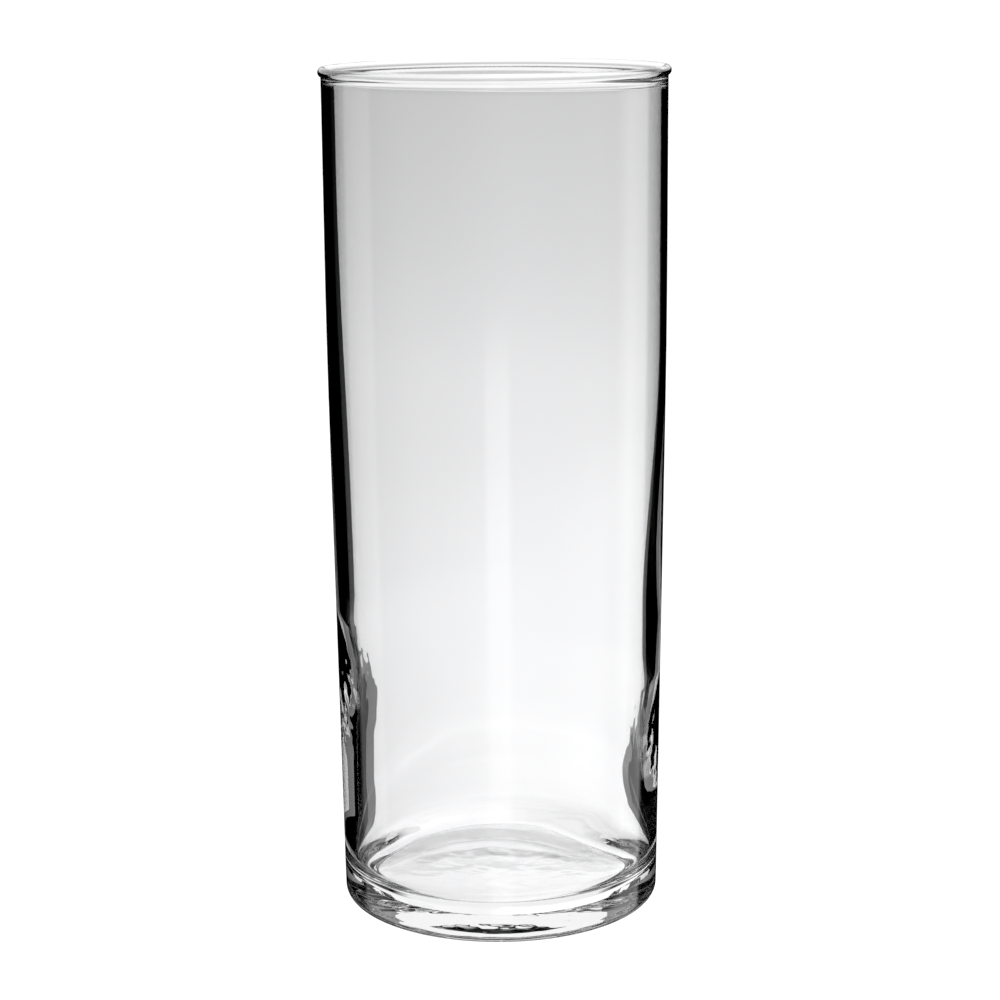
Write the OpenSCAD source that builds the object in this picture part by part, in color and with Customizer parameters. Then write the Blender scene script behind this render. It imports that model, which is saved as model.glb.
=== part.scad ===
// Glass cylinder vase: one piece of machine-made clear glass, standing on a ring round its foot.
// The origin is the middle of the foot, on the surface that the vase stands on, with +Z up.

/* [Overall size] */
// Height from the table to the top of the rim
height = 254; // [230:1:320]
// Outside diameter of the straight upper wall
top_d = 101.6; // [96:0.1:112]
// Outside diameter of the wall at the foot
base_d = 96.9; // [94:0.1:112]
// Height above which the wall is straight: below it, the wall narrows towards the foot
straight_from = 198; // [140:1:210]

/* [Rim] */
// Thickness of the rolled bead
bead_d = 3; // [2.4:0.1:4]
// How far the bead stands out from the wall
bead_proud = 0.9; // [0.2:0.05:1.2]

/* [Wall] */
// Thickness of the wall under the rim
upper_wall = 1.8; // [1.4:0.1:2.4]
// Thickness of the wall in the lower half, above the settled glass
middle_wall = 2.9; // [2.5:0.1:3.4]
// Thickness of the wall near the floor, where the glass settled before it set
lower_wall = 4.4; // [3.5:0.1:5.5]
// Height above which the wall has its upper thickness
thin_high = 200; // [150:1:215]
// Height at which the wall has thickened to its middle thickness
thin_low = 90; // [80:1:120]
// Height above which the glass did not settle
settle_high = 80; // [66:1:100]
// Height at which the wall has its full lower thickness
settle_low = 51; // [35:1:60]

/* [Base] */
// Height from the table to the inside floor
floor_h = 7; // [5:0.5:12]
// Diameter of the flat inside floor
floor_d = 77.6; // [68:0.2:78]
// Angle at which the edge of the floor rises towards the wall
floor_rise = 40; // [30:1:55]
// Radius of the rounded corner between the rising edge of the floor and the wall
floor_fillet = 9; // [5:0.5:10]
// Radius of the rounded outer corner of the foot
foot_corner = 2.9; // [1.5:0.1:4.5]
// Height of the shallow dome pushed up under the base
push_up = 0.7; // [0.4:0.1:2]
// Width of the flat ring that the vase stands on
land_w = 11.5; // [4:0.5:16]

/* [Hidden] */

$fn = 180;
eps = 0.01;
top_r = top_d / 2;
base_r = base_d / 2;
// Share of the narrowing height over which the wall bends from straight to drafted
knee = 0.25;
knee_steps = 8;
thin_steps = 24;
settle_steps = 12;
draft = atan((top_r - base_r) / (straight_from * (1 - knee / 2)));
bead_z = height - bead_d / 2;
land_outer_r = corner_x(base_r, foot_corner);
land_inner_r = land_outer_r - land_w;
dome_r = (pow(land_inner_r, 2) + pow(push_up, 2)) / (2 * push_up);
// Radius of the small bend where the flat floor meets its rising edge
floor_bend = 1.2;
// Where the line of the rising edge meets the line of the inner wall
corner_r = base_r - lower_wall;
corner_z = floor_h + (corner_r - floor_d / 2) * tan(floor_rise);

// Outside radius of the wall at height z: straight above, drafted below, with a parabola between
function outer_r(z) =
    let(
        t = max(0, 1 - z / straight_from),
        bend = t < knee ? t * t / (2 * knee) : t - knee / 2
    )
    top_r - (top_r - base_r) * bend / (1 - knee / 2);

// 0 at and below the low height, 1 at and above the high height, and an even S between
function blend(low, high, z) =
    let(t = min(1, max(0, (z - low) / (high - low))))
    t * t * (3 - 2 * t);

// Inside radius at height z
function inner_r(z) =
    outer_r(z) - lower_wall
    + (lower_wall - middle_wall) * blend(settle_low, settle_high, z)
    + (middle_wall - upper_wall) * blend(thin_low, thin_high, z);

// Heights from one height down to another, in equal steps
function heights(from, to, steps) = [for (i = [0:steps]) from + (to - from) * i / steps];

// Radius of the centre of a round corner between a level floor and a wall that has radius r there
function corner_x(r, corner) = r + corner * tan(draft) - corner / cos(draft);

// What the rounded outer corner takes off a square one at the foot
module foot_waste() {
    difference() {
        translate([land_outer_r, -eps])
            square([2 * foot_corner, foot_corner + eps]);
        translate([land_outer_r, foot_corner])
            circle(foot_corner);
    }
}

// What rounding takes off a corner of the hollow: the two lines that meet at the point have the
// glass on the sides that the angles a and b point to
module bend_waste(point, radius, a, b) {
    middle = (a + b) / 2;
    reach = radius / cos((b - a) / 2);
    translate([point[0] - reach * cos(middle), point[1] - reach * sin(middle)])
        difference() {
            polygon([
                [0, 0],
                (radius + 1) * [cos(a), sin(a)],
                (radius + 1) / cos((b - a) / 2) * [cos(middle), sin(middle)],
                (radius + 1) * [cos(b), sin(b)]
            ]);
            circle(radius);
        }
}

// Half section of the outside up to the bead, filled to the axis
module outside_half() {
    difference() {
        polygon(concat(
            [[0, 0], [0, bead_z], [outer_r(bead_z), bead_z]],
            [for (z = heights(straight_from, straight_from * (1 - knee), knee_steps)) [outer_r(z), z]],
            [[base_r, 0]]
        ));
        foot_waste();
    }
}

// Half section of the hollow, from the inside floor to just above the rim
module hollow_half() {
    thin_from = max(thin_high, straight_from);
    difference() {
        polygon(concat(
            [[0, floor_h], [0, height + eps], [inner_r(bead_z), height + eps]],
            [for (z = heights(thin_from, settle_high, thin_steps)) [inner_r(z), z]],
            [for (z = heights(settle_high, settle_low, settle_steps)) if (z < settle_high) [inner_r(z), z]],
            [[corner_r, corner_z], [floor_d / 2, floor_h]]
        ));
        bend_waste([corner_r, corner_z], floor_fillet, floor_rise - 90, 0);
        bend_waste([floor_d / 2, floor_h], floor_bend, -90, floor_rise - 90);
    }
}

// Half section of the dome under the base, a shallow arc that dies out at the flat ring
module dome_half() {
    intersection() {
        translate([0, push_up - dome_r])
            circle(dome_r, $fn = 720);
        square([land_inner_r, push_up + eps]);
    }
}

// Half section of the rolled bead
module bead_half() {
    translate([top_r + bead_proud - bead_d / 2, bead_z])
        circle(d = bead_d);
}

// The vase: one solid of revolution, with the hollow and the dome taken out of a filled body
// and the bead laid round the top of the wall that is left
module vase() {
    color([0.86, 0.9, 0.9, 0.35])
        union() {
            difference() {
                rotate_extrude()
                    outside_half();
                rotate_extrude()
                    hollow_half();
                rotate_extrude()
                    dome_half();
            }
            rotate_extrude()
                bead_half();
        }
}

vase();
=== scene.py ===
"""Clear glass cylinder vase, on a pale floor in a bright-field glass studio.

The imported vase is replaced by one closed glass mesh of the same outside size. Its inner wall is
uneven, as in the real glass: it is thin under the rim, swells where the glass settled before it
set, and is wavy there and under the thick base. Lengths are metres, or millimetres times MM, and
angles are degrees unless a name says otherwise.
"""
import math

import bpy
from mathutils import Euler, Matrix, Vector, noise


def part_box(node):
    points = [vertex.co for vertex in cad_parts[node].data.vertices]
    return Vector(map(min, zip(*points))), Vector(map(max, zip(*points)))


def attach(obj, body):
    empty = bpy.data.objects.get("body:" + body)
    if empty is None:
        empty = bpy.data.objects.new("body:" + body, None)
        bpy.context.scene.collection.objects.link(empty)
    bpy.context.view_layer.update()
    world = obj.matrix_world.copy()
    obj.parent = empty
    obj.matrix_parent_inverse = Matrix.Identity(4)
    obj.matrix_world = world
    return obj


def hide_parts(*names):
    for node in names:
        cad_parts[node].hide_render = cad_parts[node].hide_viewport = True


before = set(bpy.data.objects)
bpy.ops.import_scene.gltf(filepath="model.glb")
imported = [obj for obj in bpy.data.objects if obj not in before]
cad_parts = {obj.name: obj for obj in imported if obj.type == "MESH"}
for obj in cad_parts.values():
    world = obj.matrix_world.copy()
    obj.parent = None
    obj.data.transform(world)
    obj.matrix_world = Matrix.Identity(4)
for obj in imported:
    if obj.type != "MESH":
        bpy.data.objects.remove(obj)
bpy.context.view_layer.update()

MM = 0.001
VASE_LOW, VASE_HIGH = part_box("vase")
HEIGHT = VASE_HIGH[2] - VASE_LOW[2]
RIM_R = (VASE_HIGH[0] - VASE_LOW[0]) / 2

# The outside, with the same sizes as the CAD model.
BEAD_PROUD = 0.9 * MM
BEAD_R = 1.5 * MM
BASE_R = 48.45 * MM
STRAIGHT_FROM = 198 * MM
KNEE = 0.25
FOOT_CORNER = 2.9 * MM
PUSH_UP = 0.7 * MM
LAND_W = 11.5 * MM
TOP_R = RIM_R - BEAD_PROUD
BEAD_Z = HEIGHT - BEAD_R
BEAD_X = RIM_R - BEAD_R
LAND_OUTER = BASE_R - FOOT_CORNER
LAND_INNER = LAND_OUTER - LAND_W

# The inside floor, its rising edge and the fillet between that and the wall.
FLOOR_H = 7.0 * MM
FLOOR_R = 38.8 * MM
FLOOR_RISE = 40
FLOOR_BEND = 1.2 * MM
FLOOR_FILLET = 9.0 * MM
FILLET_WALL_Z = 15 * MM
FILLET_BLEND = 4 * MM

# The wall on the -X and the +X side, in mm: its thickness under the rim, then stretches
# (low, high, added) over which it gains the added thickness on the way down.
LEFT_WALL = (2.05, ((85, 230, 0.85), (60, 92, 1.65), (14, 30, -0.45)))
RIGHT_WALL = (1.45, ((90, 170, 1.45), (38, 72, 1.6), (15, 36, -1.3)))

# Waves in the settled glass of the inner wall, (coarse, fine) mm; heights are (-X side, +X side) mm.
RIPPLE = (0.10, 0.05)
RIPPLE_SIZE = 5 * MM
RIPPLE_LOW = (50, 36)
RIPPLE_HIGH = (84, 62)
RIPPLE_SIDE = (0.91, 0.97)

# Waves in the pressed underside, (coarse, fine) mm.
UNDER_WAVE = (0.05, 0.025)
UNDER_SIZE = 6 * MM
LAND_LIFT = 0.01 * MM

# Mesh density: sections round the axis, and rows or steps along each one.
COLUMNS = 256
SMOOTH_ROWS = 36
LOW_ROWS = 122
LOW_FROM = 112 * MM
FLOOR_ROWS = 24
DOME_STEP = 1.5 * MM
LAND_STEP = 1.0 * MM
OUTSIDE_STEP = 4 * MM

# The glass: its index, its tint from dense to clear, its haze and its waviness.
INDEX = 1.52
TINT_DEEP = (0.980, 0.982, 0.990, 1)
TINT_CLEAR = (0.998, 0.998, 1, 1)
TINT_SCALE = 14.0
HAZE = 0.012
HAZE_SCALE = 60.0
WAVE_HEIGHT = 0.004 * MM
WAVE_SCALE = 90.0

# Bright strips of backdrop: azimuth, anticlockwise from +Y, and half width.
STRIPS = ((0, 14), (47, 10), (90, 14), (-135, 14))
# Width of a strip with its dim border, in strip widths.
BORDER_SHARE = 1.32

# Light as (degrees, brightness) stops. By the elevation of a ray that has left the glass:
BACKDROP = [(-90, 1.0), (-22, 1.14), (-18, 1.16), (-14.8, 1.11), (-12.5, 1.02), (-10.2, 0.99),
            (-6.8, 0.85), (-3.3, 0.755), (0, 0.68), (18, 0.66), (24, 1.0), (90, 1.0)]
BORDER = [(-19, 0.22), (-14, 0.12), (-10, 0.06), (-5, 0.02)]
REACH = [(-19, 1.0), (-15, 0.45), (-12, 0.2), (-9, 0.0)]
LOW_ROOM = [(-25, 1.0), (-22.5, 0.0)]
HIGH_ROOM = [(7, 0.0), (11, 1.0), (26, 1.0), (28, 0.05), (60, 0.05)]
ROOM = [(-50, 0.95), (-42, 0.0), (6, 0.0), (11, 0.3), (26, 0.3), (28, 0.02), (36, 0.02),
        (40, 1.0), (90, 1.0)]
FLOOR_ROOM = [(-30, 0.95), (-24, 0.0)]
TOP_LIGHT = [(1, 0.0), (4, 1.2), (32, 1.2), (38, 1.6), (90, 1.6)]
FRONT_LIGHT = [(-20, 0.6), (-15, 1.3), (-11.5, 1.4), (-8, 0.0)]
# By its azimuth, clockwise from +Y:
SIDE_SLOPE = [(-14, 0.92), (-5, 0.9), (-2, 0.94), (0, 1.0), (2, 1.0), (5, 1.05), (14, 1.08)]
BORDER_SIDE = [(-180, 1.0), (15.8, 0.0)]
SOFTBOXES = [(-180, 0.0), (-92, 0.0), (-88, 0.8), (-64, 0.75), (-60, 0.0), (57, 0.0),
             (61, 1.35), (80, 1.5), (94, 0.0), (180, 0.0)]
# By how far it is from +Y, either way:
INSIDE = [(0, 1.0), (24, 0.25), (38, 0.0)]
WIDE = [(0, 1.0), (31, 0.3)]
FLOOR_WIDE = [(0, 1.0), (31, 0.0)]
FRONT_SIDE = [(170, 0.0), (174, 1.0)]
# Brightness that the camera and the floor see.
PLAIN = 1.06
# A ray that went into the wall, was reflected once and came out has depth 4 in the world.
ONCE_DEPTH = 4.5

# The camera: the focal length in sensor widths, where it stands and how it is turned.
FOCAL = 2.5
CAMERA_AT = (0.61 * MM, -740.4 * MM, 288.5 * MM)
CAMERA_DOWN = 12.535
CAMERA_ROLL = -0.458


def smooth(low, high, value):
    """0 below low, 1 above high, and a smooth S between them."""
    t = min(1.0, max(0.0, (value - low) / (high - low)))
    return t * t * (3 - 2 * t)


def outer_r(z):
    """Outside radius: straight above, drafted below, with a parabola between."""
    t = max(0.0, 1 - z / STRAIGHT_FROM)
    bend = t * t / (2 * KNEE) if t < KNEE else t - KNEE / 2
    return TOP_R - (TOP_R - BASE_R) * bend / (1 - KNEE / 2)


def side_wall(table, z):
    """Thickness that one side's table gives at height z."""
    under_rim, stretches = table
    return under_rim + sum(added * (1 - smooth(low, high, z / MM)) for low, high, added in stretches)


def wall(z, angle):
    """Thickness of the wall at height z and an angle (radians) round the axis from +X."""
    left = side_wall(LEFT_WALL, z)
    right = side_wall(RIGHT_WALL, z)
    share = 0.5 + 0.5 * math.cos(angle)
    return (left + (right - left) * share) * MM


def two_waves(p, fine_scale, shift, heights):
    """Coarse and fine noise at the point p, at the given heights."""
    coarse = noise.noise(p)
    fine = noise.noise(p * fine_scale + Vector(shift))
    return (heights[0] * coarse + heights[1] * fine) * MM


def ripple(angle, r, z):
    """How far the inner wall waves in and out where the glass settled, at the sides."""
    left = 0.5 - 0.5 * math.cos(angle)
    low = RIPPLE_LOW[1] + (RIPPLE_LOW[0] - RIPPLE_LOW[1]) * left
    high = RIPPLE_HIGH[1] + (RIPPLE_HIGH[0] - RIPPLE_HIGH[1]) * left
    share = smooth(low - 4, low + 6, z / MM) * (1 - smooth(high - 8, high + 4, z / MM))
    share *= smooth(*RIPPLE_SIDE, abs(math.cos(angle)))
    if share == 0:
        return 0.0
    p = Vector((r * math.cos(angle), r * math.sin(angle), z * 0.7)) / RIPPLE_SIZE
    return share * two_waves(p, 2.7, (5.0, 2.0, 9.0), RIPPLE)


def under_wave(angle, r):
    """How far the pressed underside waves up and down."""
    p = Vector((r * math.cos(angle), r * math.sin(angle) * 1.2, 0)) / UNDER_SIZE
    return two_waves(p, 2.6, (3.0, 7.0, 1.0), UNDER_WAVE)


def arc(cx, cz, radius, start, stop, steps):
    """Points of an arc in the section, from start to stop degrees."""
    points = []
    for i in range(steps + 1):
        a = math.radians(start + (stop - start) * i / steps)
        points.append((cx + radius * math.cos(a), cz + radius * math.sin(a)))
    return points


def spaced(low, high, step):
    """Values from low to high, about a step apart."""
    count = max(1, round(abs(high - low) / step))
    return [low + (high - low) * i / count for i in range(count + 1)]


def under_points(angle):
    """The underside, from near its middle to near the edge of the ring that the vase stands on."""
    points = []
    for r in spaced(DOME_STEP, LAND_INNER, DOME_STEP):
        wave = under_wave(angle, r) * min(1, (1 - r / LAND_INNER) * 4)
        points.append((r, max(0.0, PUSH_UP * (1 - (r / LAND_INNER) ** 2) + wave)))
    for r in spaced(LAND_INNER, LAND_OUTER, LAND_STEP)[1:-1]:
        points.append((r, max(0.0, under_wave(angle, r) + LAND_LIFT)))
    return points


def outside_points(angle):
    """The foot's corner, the outer wall and the bead, down to where the inner wall meets the bead."""
    points = arc(LAND_OUTER, FOOT_CORNER, FOOT_CORNER, -90, 0, 10)
    points += [(outer_r(z), z) for z in spaced(FOOT_CORNER, BEAD_Z - 2 * BEAD_R, OUTSIDE_STEP)[1:]]
    meet = 360 - math.degrees(math.acos((TOP_R - wall(BEAD_Z, angle) - BEAD_X) / BEAD_R))
    return points + arc(BEAD_X, BEAD_Z, BEAD_R, -66, meet, 28)


def inside_points(angle, wall_top):
    """The inner wall from the given height down, its fillet, the floor's rising edge and the floor."""
    points = []
    for i in range(1, SMOOTH_ROWS + 1):
        z = wall_top + (LOW_FROM - wall_top) * i / SMOOTH_ROWS
        points.append((outer_r(z) - wall(z, angle), z))
    rise = math.radians(FLOOR_RISE)
    wall_r = outer_r(FILLET_WALL_Z) - wall(FILLET_WALL_Z, angle)
    edge_r = wall_r - FLOOR_FILLET * (1 - math.sin(rise))
    edge_z = FLOOR_H + (edge_r - FLOOR_R) * math.tan(rise)
    fillet_z = edge_z + FLOOR_FILLET * math.cos(rise)
    for i in range(1, LOW_ROWS + 1):
        z = LOW_FROM + (fillet_z - LOW_FROM) * i / LOW_ROWS
        r = outer_r(z) - wall(z, angle)
        r += (wall_r - r) * (1 - smooth(fillet_z, fillet_z + FILLET_BLEND, z))
        points.append((r + ripple(angle, r, z), z))
    points += arc(wall_r - FLOOR_FILLET, fillet_z, FLOOR_FILLET, 0, FLOOR_RISE - 90, 12)[1:]
    for i in range(1, 5):
        points.append((edge_r + (FLOOR_R - edge_r) * i / 5, edge_z + (FLOOR_H - edge_z) * i / 5))
    flat_r = FLOOR_R - FLOOR_BEND * math.tan(rise / 2)
    points += arc(flat_r, FLOOR_H + FLOOR_BEND, FLOOR_BEND, FLOOR_RISE - 90, -90, 5)
    return points + [(flat_r * (1 - i / FLOOR_ROWS), FLOOR_H) for i in range(1, FLOOR_ROWS)]


def section(angle):
    """The section at one angle, from the middle of the underside round to the middle of the floor.

    It has the same number of points at every angle, so that the sections join up row by row.
    """
    points = under_points(angle) + outside_points(angle)
    return points + inside_points(angle, points[-1][1])


def vase_mesh():
    """One closed skin of glass: the sections joined round the axis, with a point at each pole."""
    angles = [2 * math.pi * c / COLUMNS for c in range(COLUMNS)]
    sections = [section(a) for a in angles]
    rows = len(sections[0])
    vertices = []
    for a, points in zip(angles, sections):
        vertices += [(r * math.cos(a), r * math.sin(a), z) for r, z in points]
    under = len(vertices)
    vertices += [(0, 0, PUSH_UP), (0, 0, FLOOR_H)]
    faces = []
    for c in range(COLUMNS):
        here = c * rows
        there = (c + 1) % COLUMNS * rows
        faces += [(here + i, there + i, there + i + 1, here + i + 1) for i in range(rows - 1)]
        faces.append((under, there, here))
        faces.append((under + 1, here + rows - 1, there + rows - 1))
    mesh = bpy.data.meshes.new("vase_glass")
    mesh.from_pydata(vertices, [], faces)
    mesh.polygons.foreach_set("use_smooth", [True] * len(mesh.polygons))
    mesh.update()
    return mesh


def add_math(tree, operation, *values):
    """A math node with its inputs set to numbers or linked to sockets; returns its output."""
    node = tree.nodes.new("ShaderNodeMath")
    node.operation = operation
    for socket, value in zip(node.inputs, values):
        if isinstance(value, (int, float)):
            socket.default_value = value
        else:
            tree.links.new(value, socket)
    return node.outputs[0]


def add_ramp(tree, value, low, high, stops, interpolation="LINEAR"):
    """Grey level as a function of value, which runs from low to high; stops are (value, grey)."""
    span = tree.nodes.new("ShaderNodeMapRange")
    span.inputs["From Min"].default_value = low
    span.inputs["From Max"].default_value = high
    tree.links.new(value, span.inputs["Value"])
    ramp = tree.nodes.new("ShaderNodeValToRGB")
    ramp.color_ramp.interpolation = interpolation
    elements = ramp.color_ramp.elements
    while len(elements) < len(stops):
        elements.new(0.5)
    for element, (place, grey) in zip(elements, stops):
        element.position = (place - low) / (high - low)
        element.color = (grey, grey, grey, 1)
    tree.links.new(span.outputs["Result"], ramp.inputs["Fac"])
    return ramp.outputs["Color"]


def add_mix(tree, factor, a, b):
    """A colour mix of two sockets, or of a socket and a grey level; returns its output."""
    mix = tree.nodes.new("ShaderNodeMix")
    mix.data_type = "RGBA"
    tree.links.new(factor, mix.inputs["Factor"])
    for socket, value in ((mix.inputs["A"], a), (mix.inputs["B"], b)):
        if isinstance(value, (int, float)):
            socket.default_value = (value, value, value, 1)
        else:
            tree.links.new(value, socket)
    return mix.outputs["Result"]


def add_noise(tree, coords, scale, detail):
    """Noise in the object's own space; returns its grey output."""
    node = tree.nodes.new("ShaderNodeTexNoise")
    node.inputs["Scale"].default_value = scale
    node.inputs["Detail"].default_value = detail
    tree.links.new(coords.outputs["Object"], node.inputs["Vector"])
    return node.outputs["Fac"]


def glass_material():
    """Clear soda glass with a trace of blue tint that drifts, fine haze and a faint waviness."""
    mat = bpy.data.materials.new("clear_glass")
    mat.use_nodes = True
    tree = mat.node_tree
    bsdf = tree.nodes["Principled BSDF"]
    bsdf.inputs["Transmission Weight"].default_value = 1.0
    bsdf.inputs["IOR"].default_value = INDEX
    coords = tree.nodes.new("ShaderNodeTexCoord")

    tint = tree.nodes.new("ShaderNodeValToRGB")
    tint.color_ramp.elements[0].color = TINT_DEEP
    tint.color_ramp.elements[1].color = TINT_CLEAR
    tree.links.new(add_noise(tree, coords, TINT_SCALE, 2.0), tint.inputs["Fac"])
    tree.links.new(tint.outputs["Color"], bsdf.inputs["Base Color"])

    haze = add_math(tree, "POWER", add_noise(tree, coords, HAZE_SCALE, 4.0), 3.0)
    tree.links.new(add_math(tree, "MULTIPLY", haze, HAZE), bsdf.inputs["Roughness"])

    bump = tree.nodes.new("ShaderNodeBump")
    bump.inputs["Strength"].default_value = 1.0
    bump.inputs["Distance"].default_value = WAVE_HEIGHT
    tree.links.new(add_noise(tree, coords, WAVE_SCALE, 1.0), bump.inputs["Height"])
    tree.links.new(bump.outputs["Normal"], bsdf.inputs["Normal"])
    return mat


class Sky:
    """Where a ray goes in the world, as sockets, and the light there as ramps of stops."""

    def __init__(self, tree):
        self.tree = tree
        coords = tree.nodes.new("ShaderNodeTexCoord")
        split = tree.nodes.new("ShaderNodeSeparateXYZ")
        tree.links.new(coords.outputs["Generated"], split.inputs[0])
        x, y, z = split.outputs
        degrees = 180 / math.pi
        self.up = self.times(add_math(tree, "ARCSINE", z), degrees)
        self.around = self.times(add_math(tree, "ARCTAN2", x, y), degrees)
        self.side = add_math(tree, "ABSOLUTE", self.around)
        level = add_math(tree, "SQRT", add_math(tree, "ADD", self.times(x, x), self.times(y, y)))
        # How far the ray is from the middle of the nearest strip, in that strip's half widths.
        self.off = None
        for azimuth, half_width in STRIPS:
            a = math.radians(azimuth)
            dot = add_math(tree, "ADD", self.times(x, -math.sin(a)), self.times(y, math.cos(a)))
            cosine = add_math(tree, "MINIMUM", add_math(tree, "DIVIDE", dot, level), 1.0)
            off = self.times(add_math(tree, "ARCCOSINE", cosine), degrees / half_width)
            self.off = off if self.off is None else add_math(tree, "MINIMUM", self.off, off)

    def times(self, a, b):
        return add_math(self.tree, "MULTIPLY", a, b)

    def brighter(self, a, b):
        return add_math(self.tree, "MAXIMUM", a, b)

    def by_elevation(self, stops):
        return add_ramp(self.tree, self.up, -90, 90, stops)

    def by_side(self, stops, interpolation="CONSTANT"):
        return add_ramp(self.tree, self.side, 0, 180, stops, interpolation)


def straight_light(sky, backdrop):
    """What light that passes straight through the glass shows: the strips and their dim borders."""
    tree = sky.tree
    strip = add_ramp(tree, sky.off, 0, 4, [(0, 1.0), (1, 0.0)], "CONSTANT")
    border = add_ramp(tree, sky.off, 0, 4, [(0, 1.0), (BORDER_SHARE, 0.0)], "CONSTANT")
    border = sky.times(border, sky.by_elevation(BORDER))
    border = sky.times(border, add_ramp(tree, sky.around, -180, 180, BORDER_SIDE, "CONSTANT"))
    return sky.times(sky.brighter(strip, border), backdrop)


def inside_light(sky, backdrop, ray_depth):
    """What light that is also reflected inside the glass shows, once in the wall or more often."""
    tree = sky.tree
    reach = sky.brighter(sky.by_elevation(REACH), 0.01)
    wall_light = add_ramp(tree, add_math(tree, "DIVIDE", sky.side, reach), 0, 90, INSIDE, "CONSTANT")
    wall_light = sky.times(wall_light, backdrop)
    base_light = sky.times(sky.by_side(WIDE), sky.by_elevation(LOW_ROOM))
    once = add_math(tree, "LESS_THAN", ray_depth, ONCE_DEPTH)
    return add_mix(tree, once, base_light, wall_light)


def room_light(sky):
    """What all light that passes through the glass shows, steeply above and below the backdrop."""
    above = sky.times(sky.by_side(WIDE), sky.by_elevation(HIGH_ROOM))
    below = sky.times(sky.by_side(FLOOR_WIDE), sky.by_elevation(FLOOR_ROOM))
    return sky.brighter(sky.brighter(above, sky.by_elevation(ROOM)), below)


def outer_reflection(sky):
    """What the outside of the glass reflects: softboxes, a light over the camera and a bright top."""
    tree = sky.tree
    front = sky.times(sky.by_side(FRONT_SIDE, "LINEAR"), sky.by_elevation(FRONT_LIGHT))
    boxes = add_ramp(tree, sky.around, -180, 180, SOFTBOXES)
    return sky.brighter(add_math(tree, "ADD", boxes, front), sky.by_elevation(TOP_LIGHT))


def studio_world():
    """Bright-field glass lighting: narrow white strips behind the glass, and darkness beside them.

    The camera and the floor see plain white. What the glass shows depends on whether the light
    passed straight through it, was reflected inside it or was reflected off its outside.
    """
    world = bpy.data.worlds.new("studio")
    world.use_nodes = True
    bpy.context.scene.world = world
    tree = world.node_tree
    tree.nodes.clear()
    sky = Sky(tree)
    light = tree.nodes.new("ShaderNodeLightPath")

    backdrop = sky.times(sky.by_elevation(BACKDROP), add_ramp(tree, sky.around, -30, 30, SIDE_SLOPE))
    inside = inside_light(sky, backdrop, light.outputs["Ray Depth"])
    bounced = add_math(tree, "GREATER_THAN", light.outputs["Glossy Depth"], 0.5)
    through = add_mix(tree, bounced, straight_light(sky, backdrop), inside)
    through = sky.brighter(through, room_light(sky))
    lit = add_mix(tree, light.outputs["Is Transmission Ray"], outer_reflection(sky), through)
    plain = sky.brighter(light.outputs["Is Camera Ray"], light.outputs["Is Diffuse Ray"])

    background = tree.nodes.new("ShaderNodeBackground")
    out = tree.nodes.new("ShaderNodeOutputWorld")
    tree.links.new(add_mix(tree, plain, lit, PLAIN), background.inputs["Color"])
    tree.links.new(background.outputs[0], out.inputs[0])


def pale_floor():
    """A plain pale floor that the glass neither shows nor reflects."""
    bpy.ops.mesh.primitive_circle_add(vertices=96, radius=4.0, fill_type="NGON")
    floor = bpy.context.object
    floor.name = "studio_floor"
    mat = bpy.data.materials.new("pale_floor")
    mat.use_nodes = True
    bsdf = mat.node_tree.nodes["Principled BSDF"]
    bsdf.inputs["Base Color"].default_value = (0.98, 0.98, 0.98, 1)
    bsdf.inputs["Roughness"].default_value = 1.0
    bsdf.inputs["Specular IOR Level"].default_value = 0.0
    floor.data.materials.append(mat)
    floor.visible_transmission = False
    floor.visible_glossy = False


def camera():
    """The photo's view: from the front, a little above the rim, looking down."""
    data = bpy.data.cameras.new("camera")
    cam = bpy.data.objects.new("camera", data)
    bpy.context.collection.objects.link(cam)
    data.sensor_width = 36
    data.lens = FOCAL * data.sensor_width
    data.clip_end = 20
    cam.location = CAMERA_AT
    cam.rotation_euler = Euler((math.radians(90 - CAMERA_DOWN), 0, 0))
    cam.rotation_euler.rotate_axis("Z", math.radians(CAMERA_ROLL))
    bpy.context.scene.camera = cam


def glass_vase():
    """The vase; it casts no shadow on the floor, since the photo shows none."""
    glass = bpy.data.objects.new("vase_glass", vase_mesh())
    bpy.context.collection.objects.link(glass)
    glass.data.materials.append(glass_material())
    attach(glass, "root")
    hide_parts("vase")
    glass.visible_diffuse = False
    glass.visible_shadow = False


camera()
studio_world()
pale_floor()
glass_vase()

scene = bpy.context.scene
scene.view_settings.view_transform = "Standard"
scene.cycles.use_denoising = True
scene.cycles.max_bounces = 24
scene.cycles.transmission_bounces = 24
scene.cycles.glossy_bounces = 12
